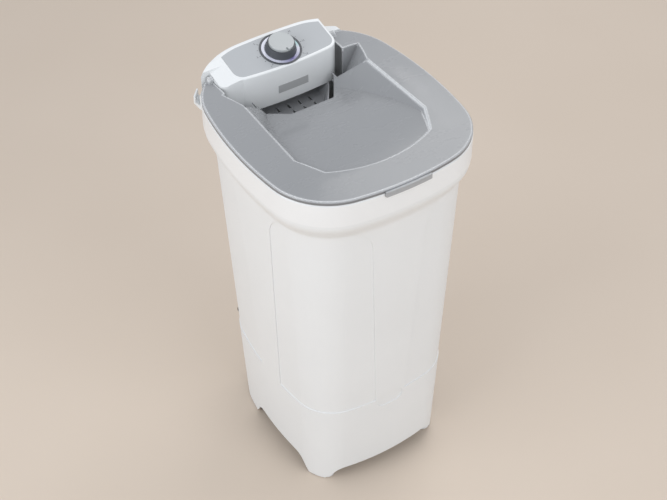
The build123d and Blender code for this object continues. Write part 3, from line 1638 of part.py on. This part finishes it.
# Lint filter: a window frame on side tongues, with a slotted screen in it
with BuildPart() as filter_frame:
    with BuildSketch(Plane.XY.offset(filter_bottom)):
        with Locations((filter_x - filter_depth / 2, filter_y)):
            Rectangle(filter_depth, filter_width)
            with Locations((filter_depth / 2 - 4.5, 0)):
                Rectangle(tongue_thickness, filter_width + 2 * tongue_reach)
    extrude(amount=filter_height)
    with BuildSketch(Plane.YZ.offset(filter_x - filter_depth)):
        with Locations((filter_y, filter_bottom + filter_height / 2)):
            RectangleRounded(filter_width - 16, filter_height - 20, 8)
    extrude(amount=filter_depth, mode=Mode.SUBTRACT)
    with BuildSketch(Plane.YZ.offset(filter_x - filter_depth / 2 - screen_thickness / 2 - fit_gap)):
        with Locations((filter_y, filter_bottom + filter_height / 2)):
            RectangleRounded(filter_width - 10, filter_height - 14, 8)
    extrude(amount=screen_thickness + 2 * fit_gap, mode=Mode.SUBTRACT)
    with BuildSketch(Plane.XY.offset(filter_bottom + filter_height - 4)):
        with Locations((filter_x - filter_depth, filter_y)):
            SlotOverall(filter_width / 2, 16, rotation=90)
    extrude(amount=4)
filter_frame.part.label = "filter_frame"
export_step(filter_frame.part, "parts/filter_frame.step")

with BuildPart() as filter_screen:
    with BuildSketch(Plane.YZ.offset(filter_x - filter_depth / 2 - screen_thickness / 2)):
        with Locations((filter_y, filter_bottom + filter_height / 2)):
            RectangleRounded(filter_width - 10 - 2 * fit_gap, filter_height - 14 - 2 * fit_gap, 8)
            with GridLocations(0, 10, 1, 10):
                SlotOverall(filter_width - 24, 5, mode=Mode.SUBTRACT)
    extrude(amount=screen_thickness)
filter_screen.part.label = "filter_screen"
export_step(filter_screen.part, "parts/filter_screen.step")
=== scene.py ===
import json
from math import asin, cos, radians, sin

import bpy
from mathutils import Matrix, Vector


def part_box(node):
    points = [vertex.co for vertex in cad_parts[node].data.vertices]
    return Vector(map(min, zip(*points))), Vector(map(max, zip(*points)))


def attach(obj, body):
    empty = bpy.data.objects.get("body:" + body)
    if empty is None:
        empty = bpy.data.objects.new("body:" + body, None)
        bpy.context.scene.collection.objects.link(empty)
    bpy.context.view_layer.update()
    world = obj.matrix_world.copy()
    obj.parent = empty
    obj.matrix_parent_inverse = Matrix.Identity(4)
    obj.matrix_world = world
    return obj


# Semi-automatic washing machine: white tapered cabinet, smoked lid, rear console with one knob.
# Front faces -Y, Z is up, and every length is in metres.
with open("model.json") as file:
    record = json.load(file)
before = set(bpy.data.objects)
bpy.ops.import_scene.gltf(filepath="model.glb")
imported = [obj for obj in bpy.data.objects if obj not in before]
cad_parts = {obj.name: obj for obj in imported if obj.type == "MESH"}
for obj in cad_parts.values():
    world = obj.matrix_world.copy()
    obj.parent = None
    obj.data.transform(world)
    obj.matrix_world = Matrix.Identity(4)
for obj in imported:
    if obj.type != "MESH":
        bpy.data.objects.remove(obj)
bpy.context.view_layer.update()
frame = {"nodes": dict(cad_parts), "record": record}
mm = 0.001

# Camera, as the photograph sees the machine
view_azimuth = radians(-32.12)
view_elevation = radians(42.55)
view_roll = radians(0.73)
view_offset = Vector((7.2, 333.6, 3392.0)) * mm
lens_length = 84.14

# Places on the lid that its finish follows
rim_half_width = 213 * mm
rim_half_depth = 243 * mm
lip_top = 799.3 * mm
tab_back = -242.8 * mm

# The dial's axis, where it meets the console's sloping top
joints = {joint["name"]: joint for joint in frame["record"]["behaviour"]["joints"]}
dial_centre = Vector(joints["timer_turn"]["pos_m"])
panel_tilt = asin(joints["timer_turn"]["axis"][1])

# Print on the console's top
ink_height = 0.16 * mm
tick_circle = 44.6 * mm
number_circle = 50.5 * mm
number_size = 5.6 * mm
long_tick, short_tick, tick_width = 3.6 * mm, 2.2 * mm, 0.85 * mm
last_mark = 14
first_mark_angle, mark_step = 220, 20
numbered_marks = (1, 3, 5, 10, 12, 14)
bare_sector = 0.7

# Net on the lint filter
net_margin = 8 * mm
net_gap = 0.35 * mm
net_wire = 0.35 * mm

# Shading of the carried-over nodes
weld_distance = 0.01 * mm
crease_angle = radians(26)


def aim_camera():
    """Camera whose offset says where the machine's origin lies: right, down and ahead of it."""
    back = Vector((
        sin(view_azimuth) * cos(view_elevation),
        -cos(view_azimuth) * cos(view_elevation),
        sin(view_elevation),
    ))
    ahead = -back
    right = ahead.cross(Vector((0, 0, 1))).normalized()
    down = ahead.cross(right)
    turned_right = right * cos(view_roll) + down * sin(view_roll)
    turned_down = down * cos(view_roll) - right * sin(view_roll)
    place = -(turned_right * view_offset.x + turned_down * view_offset.y + ahead * view_offset.z)
    data = bpy.data.cameras.new("camera")
    data.lens = lens_length
    data.clip_start = 0.1
    data.clip_end = 50
    camera = bpy.data.objects.new("camera", data)
    bpy.context.scene.collection.objects.link(camera)
    camera.matrix_world = Matrix((
        (turned_right.x, -turned_down.x, -ahead.x, place.x),
        (turned_right.y, -turned_down.y, -ahead.y, place.y),
        (turned_right.z, -turned_down.z, -ahead.z, place.z),
        (0, 0, 0, 1),
    ))
    bpy.context.scene.camera = camera


def soft_lamp(name, place, target, size, power, colour):
    """Large square lamp that faces a target."""
    data = bpy.data.lights.new(name, "AREA")
    data.shape = "SQUARE"
    data.size = size
    data.energy = power
    data.color = colour
    lamp = bpy.data.objects.new(name, data)
    bpy.context.scene.collection.objects.link(lamp)
    lamp.location = place
    lamp.rotation_mode = "QUATERNION"
    lamp.rotation_quaternion = (Vector(place) - Vector(target)).to_track_quat("Z", "Y")


def light_studio():
    """Window-like key from the right and behind, broad fill from the left, pale world."""
    bpy.context.scene.view_settings.view_transform = "Standard"
    middle = (0, 0, 0.4)
    soft_lamp("key_lamp", (1.6, 0.9, 2.6), middle, 1.6, 18, (1.0, 0.98, 0.955))
    soft_lamp("front_lamp", (0.4, -2.6, 1.7), middle, 2.0, 21, (0.965, 0.985, 1.0))
    soft_lamp("side_lamp", (-2.4, -0.2, 1.6), middle, 2.0, 27, (0.95, 0.975, 1.0))
    world = bpy.data.worlds.new("studio")
    bpy.context.scene.world = world
    world.use_nodes = True
    nodes, links = world.node_tree.nodes, world.node_tree.links
    ambient = nodes["Background"]
    ambient.inputs["Color"].default_value = (0.92, 0.95, 1.0, 1)
    ambient.inputs["Strength"].default_value = 0.74
    seen = nodes.new("ShaderNodeBackground")
    seen.inputs["Color"].default_value = (0.80, 0.74, 0.67, 1)
    seen.inputs["Strength"].default_value = 1.0
    rays = nodes.new("ShaderNodeLightPath")
    mixed = nodes.new("ShaderNodeMixShader")
    links.new(rays.outputs["Is Camera Ray"], mixed.inputs[0])
    links.new(ambient.outputs[0], mixed.inputs[1])
    links.new(seen.outputs[0], mixed.inputs[2])
    links.new(mixed.outputs[0], nodes["World Output"].inputs["Surface"])


def lay_floor():
    """Plain pale floor, large enough to fill the camera's view."""
    bpy.ops.object.select_all(action="DESELECT")
    bpy.ops.mesh.primitive_plane_add(size=14, location=(0, 0, 0))
    floor = bpy.context.object
    floor.name = "floor"
    material = bpy.data.materials.new("floor_paint")
    material.use_nodes = True
    nodes, links = material.node_tree.nodes, material.node_tree.links
    shader = nodes["Principled BSDF"]
    shader.inputs["Roughness"].default_value = 0.55
    shader.inputs["Specular IOR Level"].default_value = 0.3
    coords = nodes.new("ShaderNodeTexCoord")
    cloud = nodes.new("ShaderNodeTexNoise")
    cloud.inputs["Scale"].default_value = 1.4
    ramp = nodes.new("ShaderNodeValToRGB")
    ramp.color_ramp.elements[0].color = (0.60, 0.505, 0.415, 1)
    ramp.color_ramp.elements[1].color = (0.66, 0.565, 0.475, 1)
    links.new(coords.outputs["Object"], cloud.inputs["Vector"])
    links.new(cloud.outputs["Fac"], ramp.inputs["Fac"])
    links.new(ramp.outputs["Color"], shader.inputs["Base Color"])
    floor.data.materials.append(material)


class Finish:
    """Node-based material read from object coordinates, with its parts joined by short calls."""

    def __init__(self, name):
        self.material = bpy.data.materials.new(name)
        self.material.use_nodes = True
        self.nodes = self.material.node_tree.nodes
        self.links = self.material.node_tree.links
        self.shader = self.nodes["Principled BSDF"]
        self.coords = self.nodes.new("ShaderNodeTexCoord").outputs["Object"]

    def mapped(self, scale, turn=(0, 0, 0)):
        """Object coordinates stretched and turned."""
        node = self.nodes.new("ShaderNodeMapping")
        node.inputs["Scale"].default_value = scale
        node.inputs["Rotation"].default_value = turn
        self.links.new(self.coords, node.inputs["Vector"])
        return node.outputs["Vector"]

    def noise(self, scale, detail=2.0, roughness=0.5, vector=None):
        node = self.nodes.new("ShaderNodeTexNoise")
        node.inputs["Scale"].default_value = scale
        node.inputs["Detail"].default_value = detail
        node.inputs["Roughness"].default_value = roughness
        self.links.new(vector or self.coords, node.inputs["Vector"])
        return node.outputs["Fac"]

    def math(self, kind, first, second=0):
        node = self.nodes.new("ShaderNodeMath")
        node.operation = kind
        for socket, value in zip(node.inputs, (first, second)):
            if isinstance(value, (int, float)):
                socket.default_value = value
            else:
                self.links.new(value, socket)
        return node.outputs["Value"]

    def ranged(self, value, low, high, new_low, new_high):
        """A value moved from one span to another, and clamped to it."""
        node = self.nodes.new("ShaderNodeMapRange")
        node.inputs["From Min"].default_value = low
        node.inputs["From Max"].default_value = high
        node.inputs["To Min"].default_value = new_low
        node.inputs["To Max"].default_value = new_high
        self.links.new(value, node.inputs["Value"])
        return node.outputs["Result"]

    def ramp(self, value, stops):
        """Colours at places from 0 to 1, blended between."""
        node = self.nodes.new("ShaderNodeValToRGB")
        elements = node.color_ramp.elements
        while len(elements) < len(stops):
            elements.new(0.5)
        for element, (place, colour) in zip(elements, stops):
            element.position = place
            element.color = (*colour, 1)
        self.links.new(value, node.inputs["Fac"])
        return node.outputs["Color"]

    def blend(self, share, first, second):
        """The first colour, with a share of the second over it."""
        node = self.nodes.new("ShaderNodeMix")
        node.data_type = "RGBA"
        self.links.new(share, node.inputs[0])
        for socket, value in ((node.inputs[6], first), (node.inputs[7], second)):
            if isinstance(value, tuple):
                socket.default_value = (*value, 1)
            else:
                self.links.new(value, socket)
        return node.outputs[2]

    def edges(self, radius, low, high):
        """1 along convex and concave edges, 0 on flat walls."""
        rounded = self.nodes.new("ShaderNodeBevel")
        rounded.samples = 4
        rounded.inputs["Radius"].default_value = radius
        geometry = self.nodes.new("ShaderNodeNewGeometry")
        product = self.nodes.new("ShaderNodeVectorMath")
        product.operation = "DOT_PRODUCT"
        self.links.new(rounded.outputs["Normal"], product.inputs[0])
        self.links.new(geometry.outputs["Normal"], product.inputs[1])
        return self.ranged(product.outputs["Value"], high, low, 0, 1)

    def bump(self, height, strength, distance):
        node = self.nodes.new("ShaderNodeBump")
        node.inputs["Strength"].default_value = strength
        node.inputs["Distance"].default_value = distance
        self.links.new(height, node.inputs["Height"])
        return node.outputs["Normal"]

    def set(self, **values):
        """Constants straight on the shader's sockets."""
        for name, value in values.items():
            self.shader.inputs[name.replace("_", " ")].default_value = value

    def wire(self, colour, roughness, normal):
        """Links the finished colour, roughness and bump to the shader."""
        for name, socket in (("Base Color", colour), ("Roughness", roughness), ("Normal", normal)):
            self.links.new(socket, self.shader.inputs[name])

    def place(self):
        """Object coordinates split into x, y and z."""
        node = self.nodes.new("ShaderNodeSeparateXYZ")
        self.links.new(self.coords, node.inputs["Vector"])
        return node.outputs["X"], node.outputs["Y"], node.outputs["Z"]

    def around(self, centre, tilt):
        """0 to 1 round an axis that leans forward by the tilt."""
        node = self.nodes.new("ShaderNodeMapping")
        node.vector_type = "TEXTURE"
        node.inputs["Location"].default_value = centre
        node.inputs["Rotation"].default_value = (tilt, 0, 0)
        self.links.new(self.coords, node.inputs["Vector"])
        gradient = self.nodes.new("ShaderNodeTexGradient")
        gradient.gradient_type = "RADIAL"
        self.links.new(node.outputs["Vector"], gradient.inputs["Vector"])
        return gradient.outputs["Fac"]


def shade(colour, factor):
    """A colour made lighter or darker."""
    return tuple(min(1.0, c * factor) for c in colour)


def moulded(name, colour, rough, grain=900.0, depth=0.00006, wear=0.05, coat=0.0):
    """Injection-moulded plastic: faint clouding, fine grain, rubbed edges and hairline scuffs."""
    f = Finish(name)
    cloud = f.noise(6.0, 4.0, 0.6)
    tint = f.ramp(cloud, ((0.25, shade(colour, 0.985)), (0.75, shade(colour, 1.015))))
    scuffs = f.noise(60.0, 6.0, 0.75, f.mapped(scale=(1, 1, 0.35)))
    worn = f.edges(1.2 * mm, 0.80, 0.985)
    rubbed = f.math("MULTIPLY", worn, f.ranged(scuffs, 0.4, 0.7, 0.3, 1))
    tone = f.blend(f.math("MULTIPLY", rubbed, 0.5), tint, shade(colour, 1 + wear))
    fine = f.noise(grain, 2.0)
    matt = f.ranged(scuffs, 0.3, 0.75, rough - 0.02, rough + 0.035)
    f.wire(tone, f.math("ADD", matt, f.math("MULTIPLY", rubbed, 0.06)), f.bump(fine, 0.3, depth))
    f.set(IOR=1.48, Coat_Weight=coat, Coat_Roughness=0.14)
    return f.material


def metal(name, colour, rough, streak=(1, 1, 40), depth=0.00003):
    """Drawn or plated metal with fine darker streaks and dull patches."""
    f = Finish(name)
    streaks = f.noise(120.0, 4.0, 0.65, f.mapped(scale=streak))
    patches = f.noise(26.0, 3.0)
    tint = f.ramp(patches, ((0.3, shade(colour, 0.86)), (0.7, shade(colour, 1.06))))
    tone = f.blend(f.ranged(streaks, 0.35, 0.65, 0, 0.25), tint, shade(colour, 0.7))
    f.wire(tone, f.ranged(streaks, 0.3, 0.7, rough - 0.08, rough + 0.12), f.bump(streaks, 0.3, depth))
    f.set(Metallic=1.0)
    return f.material


def rubber(name, colour, rough):
    """Black rubber with a dusty bloom and a fine matt grain."""
    f = Finish(name)
    bloom = f.noise(30.0, 5.0, 0.65)
    tone = f.ramp(bloom, ((0.35, colour), (0.8, shade(colour, 2.2))))
    fine = f.noise(1300.0, 2.0)
    f.wire(tone, f.ranged(bloom, 0.3, 0.7, rough - 0.08, rough + 0.1), f.bump(fine, 0.5, 0.00008))
    return f.material


def smoked(name, colour, rough):
    """Translucent smoked plastic of the lid: painted shade on the lip, painted highlights along the
    moulded crests, painted light towards the rear and on the lift tab, faint wiped film.
    """
    f = Finish(name)
    x, y, z = f.place()
    cloud = f.noise(4.0, 3.0)
    tone = f.ramp(cloud, ((0.3, shade(colour, 0.98)), (0.7, shade(colour, 1.02))))
    # Painted light: the lid's colour is made lighter towards the rear.
    rear_painted_light = f.ranged(y, -0.15, 0.2, 0, 1)
    tone = f.blend(f.math("MULTIPLY", rear_painted_light, 0.36), tone, shade(colour, 1.35))
    across = f.math("MULTIPLY", f.math("ABSOLUTE", x), 1 / rim_half_width)
    along = f.math("MULTIPLY", f.math("ABSOLUTE", y), 1 / rim_half_depth)
    outer = f.ranged(f.math("MAXIMUM", across, along), 0.70, 0.74, 0, 1)
    # Painted shade: the lid's lip, below its top edge and near the outer outline, is darkened.
    lip_painted_shade = f.math("MULTIPLY", f.ranged(z, lip_top, lip_top - 1.5 * mm, 0, 0.5), outer)
    tone = f.blend(lip_painted_shade, tone, shade(colour, 0.4))
    # Painted light: the lift tab, in front of tab_back, is made lighter against the shade it hangs in.
    tone = f.blend(f.ranged(y, tab_back, tab_back - 0.6 * mm, 0, 1), tone, shade(colour, 1.3))
    # Painted highlight: near-white lines along the moulded crests above the lip.
    above_lip = f.ranged(z, lip_top + 0.2 * mm, lip_top + 0.8 * mm, 0, 1)
    crest_painted_highlight = f.math("MULTIPLY", f.edges(4.5 * mm, 0.98, 0.9984), above_lip)
    tone = f.blend(f.math("MULTIPLY", crest_painted_highlight, 0.95), tone, (0.86, 0.87, 0.88))
    film = f.noise(9.0, 5.0, 0.65, f.mapped(scale=(1, 1.8, 1), turn=(0, 0, radians(28))))
    peel = f.noise(140.0, 1.0)
    f.wire(tone, f.ranged(film, 0.35, 0.7, rough - 0.02, rough + 0.05), f.bump(peel, 0.05, 0.00005))
    f.set(IOR=1.49, Alpha=0.88, Coat_Weight=0.3, Coat_Roughness=0.1)
    return f.material


def pale_inlay(name, colour, rough):
    """Pearly ring under the knob, with painted glints: teal to the left and violet low on the right."""
    f = Finish(name)
    turn = f.around(dial_centre, panel_tilt)
    # Painted reflection: teal and violet glints, and a dimmer band between them, fixed round the dial's
    # axis.
    teal, violet, dimmed = (0.30, 0.56, 0.56), (0.11, 0.09, 0.30), shade(colour, 0.9)
    tint = f.ramp(turn, (
        (0.0, colour), (0.14, colour), (0.30, violet), (0.44, dimmed), (0.5, teal), (0.62, colour),
    ))
    cloud = f.noise(90.0, 3.0)
    tone = f.blend(f.ranged(cloud, 0.3, 0.7, 0, 0.12), tint, shade(colour, 0.8))
    f.wire(tone, f.ranged(cloud, 0.3, 0.7, rough, rough + 0.08), f.bump(f.noise(1400.0), 0.2, 0.00003))
    f.set(IOR=1.49, Coat_Weight=0.5, Coat_Roughness=0.06)
    return f.material


def make_finishes():
    """One finish for each material slot of the record, and three for single pieces."""
    even = (1, 1, 1)
    stacked = (0.02, 0.02, 12)
    return {
        "white_plastic": moulded("white_plastic", (0.80, 0.812, 0.815), 0.38, coat=0.12),
        "rim_plastic": moulded("rim_plastic", (0.835, 0.84, 0.84), 0.30, coat=0.25),
        "smoked_plastic": smoked("smoked_plastic", (0.322, 0.328, 0.338), 0.26),
        "grey_overlay": moulded("grey_overlay", (0.44, 0.455, 0.47), 0.42, grain=1500.0, depth=0.00004),
        "label_grey": moulded("label_grey", (0.42, 0.425, 0.43), 0.45, grain=1500.0, depth=0.00004),
        "dark_plastic": moulded("dark_plastic", (0.075, 0.08, 0.09), 0.38, wear=0.25),
        "pale_ring": pale_inlay("pale_ring", (0.74, 0.75, 0.86), 0.22),
        "cap_grey": moulded("cap_grey", (0.43, 0.45, 0.455), 0.30, wear=0.35, coat=0.2),
        "inner_plastic": moulded("inner_plastic", (0.50, 0.52, 0.53), 0.5),
        "black_rubber": rubber("black_rubber", (0.022, 0.022, 0.023), 0.72),
        "steel": metal("steel", (0.62, 0.62, 0.63), 0.26),
        "zinc_steel": metal("zinc_steel", (0.62, 0.61, 0.58), 0.34, streak=even),
        "cast": metal("cast", (0.50, 0.51, 0.52), 0.52, streak=even, depth=0.0003),
        "motor_paint": moulded("motor_paint", (0.035, 0.036, 0.04), 0.42, wear=0.6),
        "lamination": metal("lamination", (0.33, 0.33, 0.35), 0.48, streak=stacked, depth=0.0003),
        "bronze": metal("bronze", (0.48, 0.32, 0.15), 0.42, streak=even),
        "chute_grey": moulded("chute_grey", (0.36, 0.365, 0.375), 0.45, wear=0.2),
        "print_ink": moulded("print_ink", (0.05, 0.052, 0.06), 0.5, grain=1800.0, depth=0.00002),
        "net_thread": moulded("net_thread", (0.70, 0.72, 0.72), 0.4, grain=2500.0, depth=0.00002),
    }


def dress_nodes(finishes):
    """Each carried-over node gets its slot's finish, or its own, and clean shading."""
    own = {"inlet_chute": "chute_grey"}
    for subpart in frame["record"]["subparts"]:
        name = subpart["node"]
        node = frame["nodes"][name]
        node.data.materials.clear()
        node.data.materials.append(finishes[own.get(name, subpart["material_slot"])])
        node.data.polygons.foreach_set("use_smooth", [True] * len(node.data.polygons))
        weld = node.modifiers.new("weld", "WELD")
        weld.merge_threshold = weld_distance
        split = node.modifiers.new("split", "EDGE_SPLIT")
        split.split_angle = crease_angle
        split.use_edge_sharp = False
        normals = node.modifiers.new("normals", "WEIGHTED_NORMAL")
        normals.keep_sharp = True


def take(*pieces):
    """Selects these pieces alone, the first of them active."""
    bpy.ops.object.select_all(action="DESELECT")
    for piece in pieces:
        piece.select_set(True)
    bpy.context.view_layer.objects.active = pieces[0]


def settle(piece):
    """Puts a piece's place, turn and size into its mesh."""
    take(piece)
    bpy.ops.object.transform_apply(location=True, rotation=True, scale=True)


def lay_on_panel(piece, angle, distance, turn):
    """Moves a flat piece out from the dial's axis on the console's top, and turns it there."""
    slope = Matrix.Rotation(panel_tilt, 3, "X")
    spot = Vector((distance * cos(angle), distance * sin(angle), 0))
    piece.location = dial_centre + slope @ spot
    piece.rotation_euler = (slope @ Matrix.Rotation(turn, 3, "Z")).to_euler()
    settle(piece)


def print_tick(length, width, height):
    """Short printed bar with softened ends, lying along x."""
    bpy.ops.object.select_all(action="DESELECT")
    bpy.ops.mesh.primitive_cube_add(size=1)
    tick = bpy.context.object
    tick.scale = (length, width, height)
    settle(tick)
    bpy.ops.object.mode_set(mode="EDIT")
    bpy.ops.mesh.select_all(action="SELECT")
    bpy.ops.mesh.bevel(offset=0.2 * height, segments=1)
    bpy.ops.object.mode_set(mode="OBJECT")
    return tick


def print_number(words, size, height):
    """Plain printed number, made a mesh."""
    bpy.ops.object.select_all(action="DESELECT")
    bpy.ops.object.text_add(location=(0, 0, 0))
    number = bpy.context.object
    number.data.body = words
    number.data.size = size
    number.data.extrude = height / 2
    number.data.align_x = "CENTER"
    number.data.align_y = "CENTER"
    number.data.resolution_u = 3
    bpy.ops.object.convert(target="MESH")
    return bpy.context.object


def make_dial_marks():
    """Ticks and plain numbers on both sides of the dial."""
    pieces = []
    for value in range(1, last_mark + 1):
        angle = radians(first_mark_angle - mark_step * (value - 1))
        if abs(sin(angle)) > bare_sector:
            continue
        numbered = value in numbered_marks
        tick = print_tick(long_tick if numbered else short_tick, tick_width, ink_height)
        lay_on_panel(tick, angle, tick_circle, angle)
        pieces.append(tick)
        if numbered:
            number = print_number(str(value), number_size, ink_height)
            lay_on_panel(number, angle, number_circle, 0)
            pieces.append(number)
    take(*pieces)
    bpy.ops.object.join()
    marks = bpy.context.object
    marks.name = "dial_marks"
    marks.data.name = "dial_marks"
    return marks


def make_filter_net():
    """Fine net stretched over the lint filter's slotted screen."""
    low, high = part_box("filter_screen")
    bpy.ops.object.select_all(action="DESELECT")
    bpy.ops.mesh.primitive_grid_add(x_subdivisions=30, y_subdivisions=22, size=1)
    net = bpy.context.object
    net.name = "filter_net"
    net.data.name = "filter_net"
    net.scale = (high[2] - low[2] - net_margin, high[1] - low[1] - net_margin, 1)
    net.rotation_euler = (0, radians(90), 0)
    net.location = (low[0] - net_gap, (low[1] + high[1]) / 2, (low[2] + high[2]) / 2)
    settle(net)
    wires = net.modifiers.new("wires", "WIREFRAME")
    wires.thickness = net_wire
    wires.use_even_offset = False
    bpy.ops.object.modifier_apply(modifier="wires")
    return net


def fit_pieces(finishes):
    """Makes the printed and netted pieces, each attached to its body and given its finish."""
    for piece, body, slot, finish in (
        (make_dial_marks(), "machine", "dark_plastic", "print_ink"),
        (make_filter_net(), "lint_filter", "inner_plastic", "net_thread"),
    ):
        piece.data.materials.clear()
        piece.data.materials.append(finishes[finish])
        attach(piece, body)


aim_camera()
light_studio()
lay_floor()
finishes = make_finishes()
dress_nodes(finishes)
fit_pieces(finishes)
